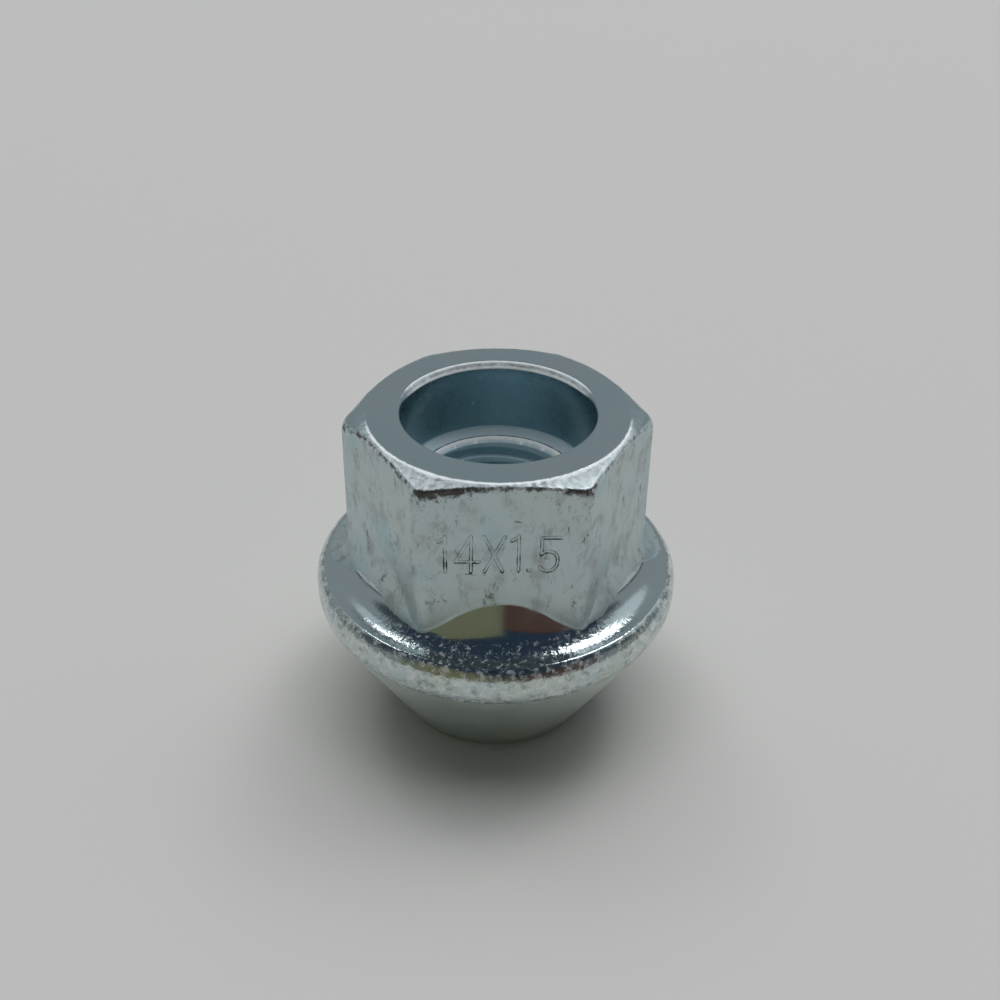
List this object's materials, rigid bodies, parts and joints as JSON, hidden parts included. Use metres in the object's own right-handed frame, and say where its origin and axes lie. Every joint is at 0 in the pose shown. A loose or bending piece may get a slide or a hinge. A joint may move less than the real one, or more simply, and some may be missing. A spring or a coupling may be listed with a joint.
{
  "type": "lug nut",
  "caption": "Open-ended wheel nut with a hexagon for a socket, a round flange, a conical seat, a counterbored end and a threaded through-hole.",
  "frame": {"origin": "centre of the seat's small end, on the thread axis; the nut stands on this end", "axes": "+Z along the thread axis from the seat's small end to the open counterbored end; -Y out of the middle of the flat with the thread-size marking; +X to the right as that flat is faced, through a corner of the hexagon"},
  "size_m": [0.0304, 0.0304, 0.0285],
  "materials": {
    "zinc_plate": "bright zinc plating on cold-formed steel: satin flats with fine wear, a smooth turned end and seat, and a polished flange"
  },
  "bodies": {
    "root": {"lug_nut": "zinc_plate"}
  },
  "joints": []
}
